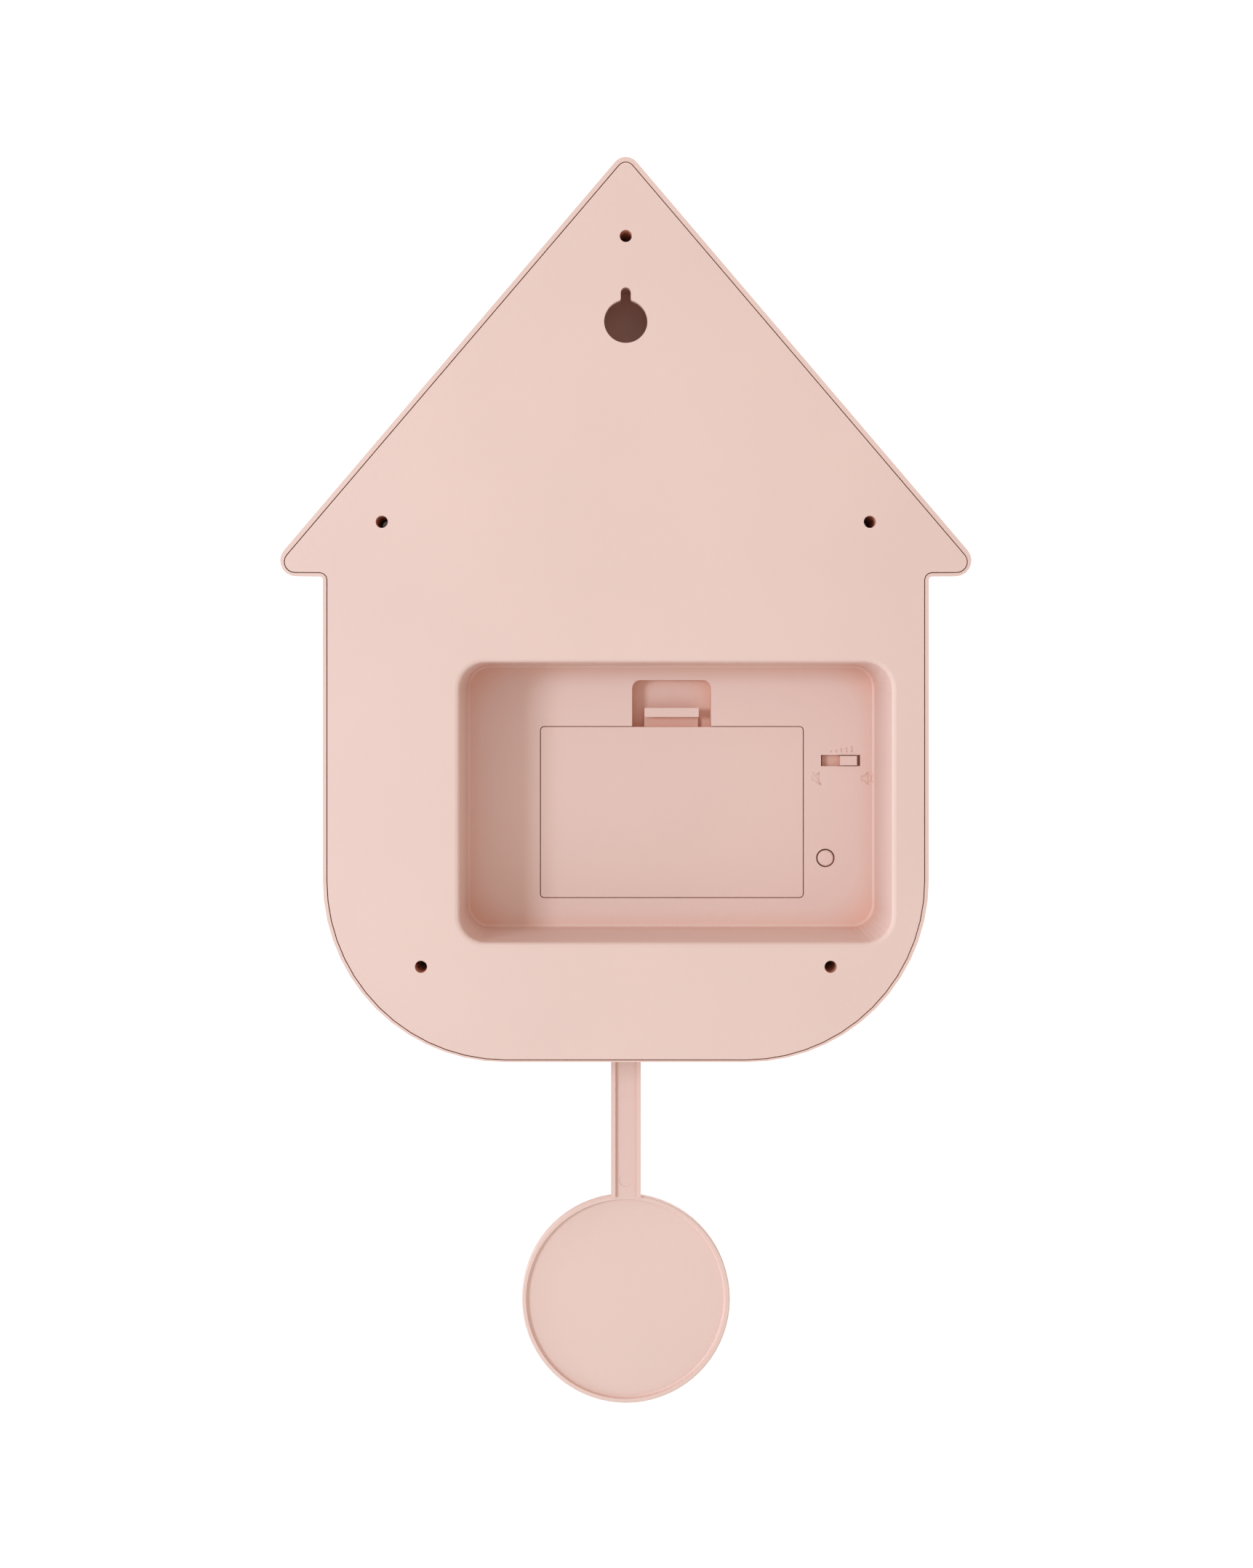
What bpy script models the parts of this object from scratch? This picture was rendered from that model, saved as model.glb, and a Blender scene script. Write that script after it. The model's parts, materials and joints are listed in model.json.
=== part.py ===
"""Cuckoo clock: a house-shaped wall clock with a sliding bird and a pendulum.

Metres, +Z up.  The front faces -Y and the back plane of the case is Y = 0.  The origin is the centre of
the round top end of the keyhole slot, the point where the clock hangs on its wall screw.
"""
import math

import bmesh
import bpy
from mathutils import Matrix, Vector

# ---- driving dimensions -------------------------------------------------------------------------------
GAP = 0.0003                    # clearance between pieces that touch
CASE_DEPTH = 0.078
CASE_DRAFT = 0.0034             # the outline is drawn in this much from the back to the front
WALL = 0.0025
FRONT_EDGE = 0.003              # rounding round the front face
OVERCUT = 0.001                 # how far a cutter reaches past the face it cuts

ROOF_APEX_Z = 0.0434            # where the two roof lines would meet
ROOF_SLOPE = 0.8525             # half-width gained for each unit down the roof
APEX_RADIUS = 0.00425
EAVE_Z = -0.0862
EAVE_TIP_RADIUS = 0.0048
EAVE_ROOT_RADIUS = 0.001
EAVE_FALL = 0.0001              # the underside drops this much from the tip to the body
BODY_HALF = 0.0920
BOTTOM_Z = -0.2337
BOTTOM_RADIUS = 0.0552

RIM_ROOF = 0.0014               # thickness of the case rim seen round the rear cover
RIM_SIDE = 0.0011
RIM_EAVE = 0.0010
RIM_BOTTOM = 0.0005
COVER_THICK = 0.0024
REBATE_DEPTH = COVER_THICK + GAP

SCREW_SPOTS = [(0.0, 0.0171), (-0.0741, -0.0697), (0.0741, -0.0697), (-0.0622, -0.2048), (0.0622, -0.2048)]
SCREW_HOLE = 0.00375
SCREW_TUBE = 0.0070
SCREW_TUBE_DEPTH = 0.022
SCREW_SEAT = 0.0195             # depth of the step that the screw head bears on
SCREW_SHANK = 0.0020
SCREW_HEAD = 0.0034

KEY_SLOT_HALF = 0.00155
KEY_BLEND = 0.0006
KEY_CIRCLE_Z = -0.0088
KEY_CIRCLE_RADIUS = 0.0066
HANGER_HALF = 0.0085            # pocket behind the keyhole, for the head of the wall screw
HANGER_DEPTH = 0.0270
HANGER_Z = (-0.0165, 0.0045)
HANGER_SKIN = 0.0015

TRAY_X = (-0.0815, 0.0512)      # opening of the tray in the cover plate
TRAY_Z = (-0.1981, -0.1117)
TRAY_CORNER = 0.0087
TRAY_DEPTH = 0.032
TRAY_DRAFT = 0.00075            # how far each wall leans in over the depth
TRAY_LIP = 0.0013
LIP_EDGE = 0.00003              # straight edge left where the lip meets the plate
TRAY_WALL = 0.0020

DOOR_X = (-0.0572, 0.0264)      # battery door in the tray floor
DOOR_Z = (-0.1872, -0.1329)
DOOR_THICK = 0.0011
DOOR_LEDGE = 0.0010              # rim that the door rests on
DOOR_CORNER = 0.0010
DOOR_GAP = 0.00032
CELL_RADIUS = 0.0131
CELL_LENGTH = 0.0500
CELL_PITCH = 0.0266
BAY_HALF_X = 0.0402
BAY_Z = (-0.1886, -0.1343)
BAY_BACK = -0.0615
POCKET_X = (-0.0279, -0.0027)
POCKET_TOP = -0.1179
POCKET_FLOOR = -0.0380
LATCH_X = (-0.0240, -0.0067)
LATCH_BAR_Z = (-0.1297, -0.1268)

SLOT_X = (-0.0755, -0.0630)     # volume switch
SLOT_Z = (-0.1454, -0.1418)
KNOB_X = (-0.0744, -0.0690)
SKIRT_X = (-0.0812, -0.0636)     # sliding cover under the knob, which keeps the slot closed
BUTTON_SPOT = (-0.0644, -0.1747)
BUTTON_RADIUS = 0.0025
BUTTON_HOLE = 0.00295
BOARD_X = (-0.0815, -0.0602)
BOARD_Z = (-0.1895, -0.1040)
BOARD_Y = -0.0400
SPEAKER_Z = -0.2005

POST_BORE = 0.0013               # screw posts, bird-door hinge stubs and the latch bar
POST_BORE_DEPTH = 0.012
STUB_HOLE = 0.0011
STUB_REACH = 0.0018
LATCH_BAR_THICK = 0.0014

HOUR_PITCH = 0.00768             # pitch radii of the clock train
CENTRE_PITCH = 0.00840
CANNON_PITCH = 0.00240
IDLER_X, IDLER_PITCH, IDLER_PINION_PITCH = 0.0097, 0.00720, 0.00192
THIRD_X, THIRD_PITCH, THIRD_PINION_PITCH = -0.0096, 0.0078, 0.00108
ROTOR_PINION_PITCH = 0.0010

PIVOT_X = -0.0009               # pendulum
PIVOT_Y = -0.0400
PIVOT_Z = -0.2050
ROD_WIDTH = 0.0096
ROD_THICK = 0.0025
ROD_FLANGE = 0.0014
ROD_CHANNEL = 0.0012
BOB_RADIUS = 0.0336
BOB_Z = -0.3180
BOB_THICK = 0.0050
BOB_RIM = 0.0013
BOB_RECESS = 0.0015
SLOT_HALF = 0.0125
EJECTOR_RADIUS = 0.0022          # round mark left in the rod's channel by the mould
EJECTOR_RISE = 0.0049
EJECTOR_DEPTH = 0.00012
PIN_BORE = 0.0015
CLIP_Y = (-0.0376, -0.0370)
HOUSING_HALF = 0.0160
HOUSING_Y = (-0.0595, -0.0480)
HOUSING_Z = (-0.2270, -0.1920)
COIL_Z = -0.2200
COIL_THICK = 0.0025

DIAL_Z = -0.0990                # clock face and hands
DIAL_RADIUS = 0.0540
RING_OUTER = 0.0580
BIRD_DOOR_Z = (-0.0330, 0.0030)
BIRD_OPENING_HALF = 0.0164
LEAF_OUTER = 0.0153
LEAF_AXIS_X = 0.0142
LEAF_AXIS_Y = -0.0762
RACK_PITCH = 0.00209
GEAR_TEETH = 24
PINION_TEETH = 8

PINK = (0.800, 0.610, 0.560)
PINK_DEEP = (0.760, 0.560, 0.500)
CREAM = (0.860, 0.820, 0.760)
STEEL = (0.620, 0.620, 0.630)
BLACK = (0.020, 0.020, 0.022)
GREEN = (0.030, 0.170, 0.080)
COPPER = (0.720, 0.330, 0.150)
NATURAL = (0.780, 0.770, 0.720)

# ---- scene and collections ----------------------------------------------------------------------------
for old in list(bpy.data.objects):
    bpy.data.objects.remove(old, do_unlink=True)
PARTS = bpy.data.collections.new("cuckoo_clock")
CUTTERS = bpy.data.collections.new("cutters")
bpy.context.scene.collection.children.link(PARTS)
bpy.context.scene.collection.children.link(CUTTERS)
MATERIALS = {}


def material(name, colour, roughness, metallic=0.0):
    """One Principled material for each finish, made once."""
    if name not in MATERIALS:
        made = bpy.data.materials.new(name)
        made.use_nodes = True
        shader = made.node_tree.nodes["Principled BSDF"]
        shader.inputs["Base Color"].default_value = (*colour, 1.0)
        shader.inputs["Roughness"].default_value = roughness
        shader.inputs["Metallic"].default_value = metallic
        MATERIALS[name] = made
    return MATERIALS[name]


FINISH = {
    "case": ("pink_plastic", PINK, 0.45, 0.0),
    "trim": ("deep_pink_plastic", PINK_DEEP, 0.45, 0.0),
    "cream": ("cream_plastic", CREAM, 0.5, 0.0),
    "white": ("natural_plastic", NATURAL, 0.45, 0.0),
    "black": ("black_plastic", BLACK, 0.4, 0.0),
    "steel": ("steel", STEEL, 0.3, 1.0),
    "board": ("circuit_board", GREEN, 0.5, 0.0),
    "copper": ("copper_wire", COPPER, 0.35, 1.0),
    "cell": ("battery_label", (0.16, 0.17, 0.20), 0.35, 0.0),
    "cone": ("speaker_paper", (0.05, 0.05, 0.05), 0.9, 0.0),
    "brass": ("brass", (0.75, 0.58, 0.25), 0.3, 1.0),
    "bird": ("bird_plastic", (0.86, 0.84, 0.80), 0.5, 0.0),
    "beak": ("beak_plastic", (0.85, 0.45, 0.12), 0.45, 0.0),
}


# ---- making shapes ------------------------------------------------------------------------------------
def add_object(name, mesh, finish=None):
    """Link a mesh as a part, or as a hidden cutter when it has no finish."""
    made = bpy.data.objects.new(name, mesh)
    if finish is None:
        CUTTERS.objects.link(made)
        made.hide_render = True
        made.display_type = "WIRE"
    else:
        PARTS.objects.link(made)
        mesh.materials.append(material(*FINISH[finish]))
    return made


def box(name, x, y, z, finish=None):
    """A block between two limits on each axis."""
    made = bmesh.new()
    bmesh.ops.create_cube(made, size=1.0)
    size = Vector((x[1] - x[0], y[1] - y[0], z[1] - z[0]))
    middle = Vector((x[1] + x[0], y[1] + y[0], z[1] + z[0])) / 2
    bmesh.ops.scale(made, vec=size, verts=made.verts)
    bmesh.ops.translate(made, vec=middle, verts=made.verts)
    mesh = bpy.data.meshes.new(name)
    made.to_mesh(mesh)
    made.free()
    return add_object(name, mesh, finish)


def cone(name, centre, radius, low, high, axis="Y", finish=None, segments=32, tip=None):
    """A cylinder, or a cone when tip is given, from low to high along an axis."""
    made = bmesh.new()
    far = radius if tip is None else tip
    bmesh.ops.create_cone(made, cap_ends=True, segments=segments, radius1=radius, radius2=far,
                          depth=high - low)
    turn = {"X": Matrix.Rotation(math.pi / 2, 4, "Y"), "Y": Matrix.Rotation(-math.pi / 2, 4, "X"),
            "Z": Matrix.Identity(4)}[axis]
    bmesh.ops.transform(made, matrix=turn, verts=made.verts)
    middle = Vector(centre)
    middle["XYZ".index(axis)] = (low + high) / 2
    bmesh.ops.translate(made, vec=middle, verts=made.verts)
    mesh = bpy.data.meshes.new(name)
    made.to_mesh(mesh)
    made.free()
    mesh.shade_smooth()
    mesh.set_sharp_from_angle(angle=math.radians(35))
    return add_object(name, mesh, finish)


def fillet(corners):
    """A closed outline through corners (x, z, radius, steps), each rounded by an arc."""
    outline = []
    count = len(corners)
    for index, (x, z, radius, steps) in enumerate(corners):
        here = Vector((x, z))
        before = (Vector(corners[index - 1][:2]) - here).normalized()
        after = (Vector(corners[(index + 1) % count][:2]) - here).normalized()
        if radius <= 0.0:
            outline.append((x, z))
            continue
        half = before.angle(after) / 2
        centre = here + (before + after).normalized() * (radius / math.sin(half))
        first = here + before * (radius / math.tan(half)) - centre
        last = here + after * (radius / math.tan(half)) - centre
        sweep = first.angle_signed(last)
        for step in range(steps + 1):
            turned = first.copy()
            turned.rotate(Matrix.Rotation(-sweep * step / steps, 2))
            outline.append(tuple(centre + turned))
    return outline


def rounded_box(x, z, radius, grow=0.0, steps=6):
    """A rounded rectangle in the XZ plane, grown outwards."""
    low_x, high_x = x[0] - grow, x[1] + grow
    low_z, high_z = z[0] - grow, z[1] + grow
    corner = max(radius + grow, 0.0)
    return fillet([(low_x, low_z, corner, steps), (high_x, low_z, corner, steps),
                   (high_x, high_z, corner, steps), (low_x, high_z, corner, steps)])


def loft(name, sections, finish=None):
    """A closed solid through like outlines, each given with its Y and running from low Y to high Y."""
    made = bmesh.new()
    rings = [[made.verts.new((x, y, z)) for x, z in outline] for outline, y in sections]
    for lower, upper in zip(rings, rings[1:]):
        for index in range(len(lower)):
            after = (index + 1) % len(lower)
            made.faces.new((lower[index], lower[after], upper[after], upper[index]))
    made.faces.new(rings[0])
    made.faces.new(rings[-1])
    bmesh.ops.recalc_face_normals(made, faces=made.faces)
    mesh = bpy.data.meshes.new(name)
    made.to_mesh(mesh)
    made.free()
    mesh.shade_smooth()
    mesh.set_sharp_from_angle(angle=math.radians(35))
    return add_object(name, mesh, finish)


def plate(name, outline, y, finish=None):
    """A flat outline in the XZ plane, extruded between two values of Y."""
    curve = bpy.data.curves.new(name, "CURVE")
    curve.dimensions = "2D"
    curve.fill_mode = "BOTH"
    curve.extrude = (y[1] - y[0]) / 2
    spline = curve.splines.new("POLY")
    spline.points.add(len(outline) - 1)
    for point, (x, z) in zip(spline.points, outline):
        point.co = (x, z, 0.0, 1.0)
    spline.use_cyclic_u = True
    guide = bpy.data.objects.new(name + "_curve", curve)
    CUTTERS.objects.link(guide)
    bpy.context.view_layer.update()
    mesh = bpy.data.meshes.new_from_object(guide.evaluated_get(bpy.context.evaluated_depsgraph_get()))
    bpy.data.objects.remove(guide)
    stand = Matrix.Translation((0.0, (y[0] + y[1]) / 2, 0.0)) @ Matrix.Rotation(math.pi / 2, 4, "X")
    made = bmesh.new()
    made.from_mesh(mesh)
    bmesh.ops.remove_doubles(made, verts=made.verts, dist=0.000005)
    bmesh.ops.transform(made, matrix=stand, verts=made.verts)
    bmesh.ops.recalc_face_normals(made, faces=made.faces)
    mesh.clear_geometry()
    made.to_mesh(mesh)
    made.free()
    mesh.materials.clear()
    mesh.shade_smooth()
    mesh.set_sharp_from_angle(angle=math.radians(35))
    return add_object(name, mesh, finish)


def side_plate(name, outline_yz, x, finish=None):
    """An outline in the YZ plane, extruded between two values of X."""
    made = plate(name, [(-y, z) for y, z in outline_yz], x, finish)
    made.data.transform(Matrix.Rotation(-math.pi / 2, 4, "Z"))
    return made


def combine(target, others, operation):
    """Join or cut a part with helper solids, and drop the helpers."""
    for other in others:
        step = target.modifiers.new(operation.lower(), "BOOLEAN")
        step.operation = operation
        step.object = other
        bpy.context.view_layer.update()
        depsgraph = bpy.context.evaluated_depsgraph_get()
        mesh = bpy.data.meshes.new_from_object(target.evaluated_get(depsgraph))
        target.modifiers.clear()
        old = target.data
        target.data = mesh
        bpy.data.meshes.remove(old)
        bpy.data.objects.remove(other)
    return target


def cut(target, *cutters):
    return combine(target, cutters, "DIFFERENCE")


def join(target, *others):
    return combine(target, others, "UNION")


def turned(name, profile, axis_point, axis, finish, segments=32):
    """A solid of revolution: profile (radius, height) from the axis out and back, about an axis."""
    mesh = bpy.data.meshes.new(name)
    made = bmesh.new()
    points = [made.verts.new((radius, 0.0, height)) for radius, height in profile]
    for first, second in zip(points, points[1:]):
        made.edges.new((first, second))
    bmesh.ops.spin(made, geom=made.verts[:] + made.edges[:], cent=(0, 0, 0), axis=(0, 0, 1),
                   angle=2 * math.pi, steps=segments, use_merge=True)
    bmesh.ops.remove_doubles(made, verts=made.verts, dist=0.000002)
    bmesh.ops.recalc_face_normals(made, faces=made.faces)
    turn = {"X": Matrix.Rotation(math.pi / 2, 4, "Y"), "Y": Matrix.Rotation(-math.pi / 2, 4, "X"),
            "Z": Matrix.Identity(4)}[axis]
    bmesh.ops.transform(made, matrix=Matrix.Translation(axis_point) @ turn, verts=made.verts)
    made.to_mesh(mesh)
    made.free()
    mesh.shade_smooth()
    mesh.set_sharp_from_angle(angle=math.radians(35))
    return add_object(name, mesh, finish)


def set_origin(part, point):
    """Put a moving part's origin on its joint's axis without moving its shape."""
    part.data.transform(Matrix.Translation(-Vector(point)))
    part.location = point
    return part


# ---- case and rear cover ------------------------------------------------------------------------------
def house(roof=0.0, side=0.0, eave=0.0, bottom=0.0):
    """The house outline, drawn in by a distance for each kind of edge."""
    apex = ROOF_APEX_Z - roof * math.hypot(1.0, ROOF_SLOPE) / ROOF_SLOPE
    eave_z = EAVE_Z + eave
    tip_x = ROOF_SLOPE * (apex - eave_z)
    tip_radius = max(EAVE_TIP_RADIUS - roof, 0.0008)
    half = BODY_HALF - side
    right = [(tip_x, eave_z, tip_radius, 7), (half, eave_z - EAVE_FALL, EAVE_ROOT_RADIUS + eave, 3),
             (half, BOTTOM_Z + bottom, BOTTOM_RADIUS - (side + bottom) / 2, 14)]
    left = [(-x, z, radius, steps) for x, z, radius, steps in reversed(right)]
    return fillet([(0.0, apex, max(APEX_RADIUS - roof, 0.0008), 6)] + right + left)


def even_house(inset, y=0.0):
    """The case outline at a depth, following the draft, drawn in by a wall or an edge."""
    inset -= CASE_DRAFT * y / CASE_DEPTH
    return house(inset, inset, inset, inset)


def make_front_case():
    sections = []
    for step in range(4):
        turn = math.pi / 2 * step / 3
        y = -CASE_DEPTH + FRONT_EDGE * (1 - math.cos(turn))
        sections.append((even_house(FRONT_EDGE * (1 - math.sin(turn)), y), y))
    sections.append((even_house(0.0), 0.0))
    case = loft("front_case", sections, "case")
    inner_front = -CASE_DEPTH + WALL
    cavity = [(even_house(WALL, inner_front), inner_front), (even_house(WALL, OVERCUT), OVERCUT)]
    cut(case, loft("cavity", cavity),
        plate("rebate", house(RIM_ROOF, RIM_SIDE, RIM_EAVE, RIM_BOTTOM), (-REBATE_DEPTH, 0.001)))
    back_of_boss = -CASE_DEPTH + 0.0055
    join(case, box("bird_boss", (-0.021, 0.021), (-CASE_DEPTH + 0.001, back_of_boss), (-0.038, 0.008)))
    for x, z in SCREW_SPOTS:
        join(case, cone("post", (x, 0, z), SCREW_TUBE / 2, -CASE_DEPTH + 0.001, -SCREW_TUBE_DEPTH - GAP,
                        segments=12))
        cut(case, cone("bore", (x, 0, z), POST_BORE, -SCREW_TUBE_DEPTH - POST_BORE_DEPTH,
                       -SCREW_TUBE_DEPTH + OVERCUT, segments=8))
    opening_z = (BIRD_DOOR_Z[0] - GAP, BIRD_DOOR_Z[1] + GAP)
    front = -CASE_DEPTH - 0.001
    cut(case, box("bird_opening", (-BIRD_OPENING_HALF, BIRD_OPENING_HALF), (front, -0.070), opening_z))
    for side in (-1, 1):
        spot = (side * LEAF_AXIS_X, LEAF_AXIS_Y, 0)
        cut(case, cone("stub_hole", spot, STUB_HOLE, opening_z[0] - STUB_REACH, opening_z[1] + STUB_REACH,
                       "Z", segments=12))
    cut(case, cone("dial_recess", (0, 0, DIAL_Z), RING_OUTER + GAP, front, -CASE_DEPTH + 0.0012, segments=60),
        cone("arbor_hole", (0, 0, DIAL_Z), 0.0043, front, -0.070, segments=24),
        cone("sensor_window", (0, 0, -0.1655), 0.0016, front, -0.070, segments=16))
    for row in range(-2, 3):
        middle = SPEAKER_Z + 0.008 * row
        slot = rounded_box((-0.017, 0.017), (middle - 0.0012, middle + 0.0012), 0.00119, steps=2)
        cut(case, plate("sound_slot", slot, (front, -0.070)))
    cut(case, box("pendulum_slot", (PIVOT_X - SLOT_HALF, PIVOT_X + SLOT_HALF),
                  (PIVOT_Y - 0.0065, PIVOT_Y + 0.0045), (BOTTOM_Z - 0.002, BOTTOM_Z + 0.0065)))
    return case


def tray_cutter():
    """The tray's hollow: a floor fillet, four leaning walls and a rounded lip at the plate."""
    top = -TRAY_LIP / 2
    foot = top - TRAY_DRAFT
    fillet_size = 0.0008
    steps = [(foot - fillet_size, -TRAY_DEPTH), (foot - 0.3 * fillet_size, -TRAY_DEPTH + 0.3 * fillet_size),
             (foot, -TRAY_DEPTH + fillet_size)]
    for step in range(4):
        turn = math.pi / 2 * step / 3
        lip_y = -TRAY_LIP + (TRAY_LIP - LIP_EDGE) * math.sin(turn)
        steps.append((top + TRAY_LIP * (1 - math.cos(turn)), lip_y))
    steps.append((top + TRAY_LIP, 0.001))
    sections = [(rounded_box(TRAY_X, TRAY_Z, TRAY_CORNER, grow, 7), y) for grow, y in steps]
    return loft("tray_hollow", sections)


def arc(centre, radius, start, stop, steps):
    """Points along an arc in the XZ plane, with its angles in radians from +X towards +Z."""
    angles = [start + (stop - start) * step / steps for step in range(steps + 1)]
    return [(centre[0] + radius * math.cos(angle), centre[1] + radius * math.sin(angle)) for angle in angles]


def keyhole_outline():
    """A round opening blended into the slot above it; the slot's round top is at the origin."""
    reach = KEY_CIRCLE_RADIUS + KEY_BLEND
    side = KEY_SLOT_HALF + KEY_BLEND
    rise = math.sqrt(reach * reach - side * side)
    blend_z = KEY_CIRCLE_Z + rise
    meet = math.atan2(rise, side)
    right = arc((side, blend_z), KEY_BLEND, math.pi, math.pi + meet, 3)
    left = [(-x, z) for x, z in reversed(right)]
    top = arc((0.0, 0.0), KEY_SLOT_HALF, math.pi, 0.0, 8)
    bottom = arc((0.0, KEY_CIRCLE_Z), KEY_CIRCLE_RADIUS, meet, -math.pi - meet, 36)
    return top + right + bottom[1:-1] + left


def make_rear_cover():
    outline = house(RIM_ROOF + GAP, RIM_SIDE + GAP, RIM_EAVE + GAP, RIM_BOTTOM + GAP)
    cover = plate("rear_cover", outline, (-COVER_THICK, 0.0), "case")
    middle = (DOOR_X[0] + DOOR_X[1]) / 2
    floor_back = -TRAY_DEPTH - TRAY_WALL
    bay_x = (middle - BAY_HALF_X, middle + BAY_HALF_X)
    skin = TRAY_WALL
    join(cover,
         plate("tray", rounded_box(TRAY_X, TRAY_Z, TRAY_CORNER, skin, 5), (floor_back, -0.001)),
         box("bay", (bay_x[0] - skin, bay_x[1] + skin), (BAY_BACK - skin, floor_back + 0.001),
             (BAY_Z[0] - skin, BAY_Z[1] + skin)),
         box("pocket", (POCKET_X[0] - skin, POCKET_X[1] + skin), (POCKET_FLOOR - skin, floor_back + 0.001),
             (DOOR_Z[1] - 0.003, POCKET_TOP + skin)),
         box("hanger", (-HANGER_HALF - HANGER_SKIN, HANGER_HALF + HANGER_SKIN),
             (-HANGER_DEPTH - HANGER_SKIN, -0.001), (HANGER_Z[0] - HANGER_SKIN, HANGER_Z[1] + HANGER_SKIN)))
    for x, z in SCREW_SPOTS:
        join(cover, cone("tube", (x, 0, z), SCREW_TUBE / 2, -SCREW_TUBE_DEPTH, -0.001, segments=12))
    cut(cover, tray_cutter(), box("bay_hollow", bay_x, (BAY_BACK, floor_back + 0.0001), BAY_Z),
        plate("door_rebate", rounded_box(DOOR_X, DOOR_Z, DOOR_CORNER, DOOR_GAP, 3),
              (-TRAY_DEPTH - DOOR_THICK - GAP, -TRAY_DEPTH + OVERCUT)),
        box("bay_mouth", (DOOR_X[0] + DOOR_LEDGE, DOOR_X[1] - DOOR_LEDGE),
            (floor_back - OVERCUT, -TRAY_DEPTH), (DOOR_Z[0] + DOOR_LEDGE, BAY_Z[1])))
    corner = 0.0027
    pocket = fillet([(POCKET_X[0], DOOR_Z[1] - 0.001, 0, 0), (POCKET_X[1], DOOR_Z[1] - 0.001, 0, 0),
                     (POCKET_X[1], POCKET_TOP, corner, 5), (POCKET_X[0], POCKET_TOP, corner, 5)])
    cut(cover, plate("pocket_hollow", pocket, (POCKET_FLOOR, -0.031)),
        box("switch_slot", SLOT_X, (floor_back - 0.001, -0.031), SLOT_Z),
        cone("button_hole", (BUTTON_SPOT[0], 0, BUTTON_SPOT[1]), BUTTON_HOLE, floor_back - 0.001, -0.031,
             segments=24),
        box("hanger_hollow", (-HANGER_HALF, HANGER_HALF), (-HANGER_DEPTH, -COVER_THICK), HANGER_Z),
        plate("keyhole", keyhole_outline(), (-COVER_THICK - OVERCUT, OVERCUT)))
    for x, z in SCREW_SPOTS:
        cut(cover, cone("counterbore", (x, 0, z), SCREW_HOLE / 2, -SCREW_SEAT, OVERCUT, segments=24),
            cone("clearance", (x, 0, z), 0.0013, -SCREW_TUBE_DEPTH - 0.001, -SCREW_SEAT + 0.0005, segments=8))
    return cover


def make_case_screws():
    for number, (x, z) in enumerate(SCREW_SPOTS, start=1):
        head, shank = SCREW_HEAD / 2, SCREW_SHANK / 2
        under = -SCREW_SEAT + GAP
        crown = under + 0.0016
        tip = under - 0.0118
        profile = [(0.0, tip), (shank * 0.4, tip), (shank, tip + 0.0015), (shank, under), (head, under),
                   (head, crown - 0.0004), (head * 0.8, crown), (0.0, crown)]
        screw = turned(f"case_screw_{number}", profile, (x, 0, z), "Y", "steel", segments=12)
        cross = (crown - 0.0007, crown + 0.0006)
        cut(screw, box("cross_a", (x - 0.0011, x + 0.0011), cross, (z - 0.00025, z + 0.00025)),
            box("cross_b", (x - 0.00025, x + 0.00025), cross, (z - 0.0011, z + 0.0011)))


# ---- battery door, cells and contacts -----------------------------------------------------------------
def make_battery_door():
    door = plate("battery_door", rounded_box(DOOR_X, DOOR_Z, DOOR_CORNER, steps=3),
                 (-TRAY_DEPTH - DOOR_THICK, -TRAY_DEPTH), "case")
    low = DOOR_Z[0]
    middle = (DOOR_X[0] + DOOR_X[1]) / 2
    for side in (-1, 1):
        x = middle + side * CELL_PITCH / 2
        hook_x = (x - 0.003, x + 0.003)
        stem_y = (-0.0356, -TRAY_DEPTH - DOOR_THICK + 0.0002)
        join(door, box("hook_stem", hook_x, stem_y, (low + DOOR_LEDGE + GAP, low + 0.003)),
             box("hook_toe", hook_x, (-0.0356, -0.0343), (low - 0.0010, low + 0.002)))
    return set_origin(door, (0.0, -TRAY_DEPTH, low))


def make_battery_latch():
    """A springy channel: down into the pocket from the door's edge, then up to the thumb bar."""
    root = DOOR_Z[1] - 0.0009
    bar_low, bar_high = LATCH_BAR_Z
    skin = 0.0009
    top, deep = -TRAY_DEPTH - 0.0004, -0.0374
    behind_door = -TRAY_DEPTH - DOOR_THICK - GAP
    bar_front = top - LATCH_BAR_THICK
    outline = [(behind_door, root), (behind_door, root + skin), (deep + skin, root + skin),
               (deep + skin, bar_low), (top, bar_low), (top, bar_high), (bar_front, bar_high),
               (bar_front, bar_low + skin), (deep, bar_low + skin), (deep, root)]
    latch = side_plate("battery_latch", outline, LATCH_X, "case")
    return set_origin(latch, (0.0, deep, root))


def make_cells():
    middle = (DOOR_X[0] + DOOR_X[1]) / 2
    y = -0.0478
    for number, offset in enumerate((-1, 0, 1), start=1):
        x = middle + offset * CELL_PITCH
        up = 1 if offset else -1
        plus_gap = 0.0008
        end = (BAY_Z[1] if up > 0 else BAY_Z[0]) - up * (0.0008 + plus_gap)
        r = CELL_RADIUS
        length = CELL_LENGTH
        profile = [(0.0, 0.0), (0.0034, 0.0), (0.0034, -0.0018), (r - 0.0012, -0.0018), (r, -0.0026),
                   (r, -length + 0.0006), (r - 0.0006, -length), (0.0, -length)]
        turned(f"battery_cell_{number}", [(a, end + up * b) for a, b in profile], (x, y, 0), "Z", "cell", 20)
        top, low = BAY_Z[1] - GAP, BAY_Z[0] + GAP
        plus = (top - 0.0005, top) if up > 0 else (low, low + 0.0005)
        minus = (low, low + 0.0005) if up > 0 else (top - 0.0005, top)
        box(f"contact_plate_{number}", (x - 0.005, x + 0.005), (y - 0.005, y + 0.005), plus, "steel")
        spring = make_spring(number, x, y, minus[1] if up > 0 else minus[0], end - up * length, up)
        join(spring, box("spring_plate", (x - 0.006, x + 0.006), (y - 0.006, y + 0.006), minus))


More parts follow.
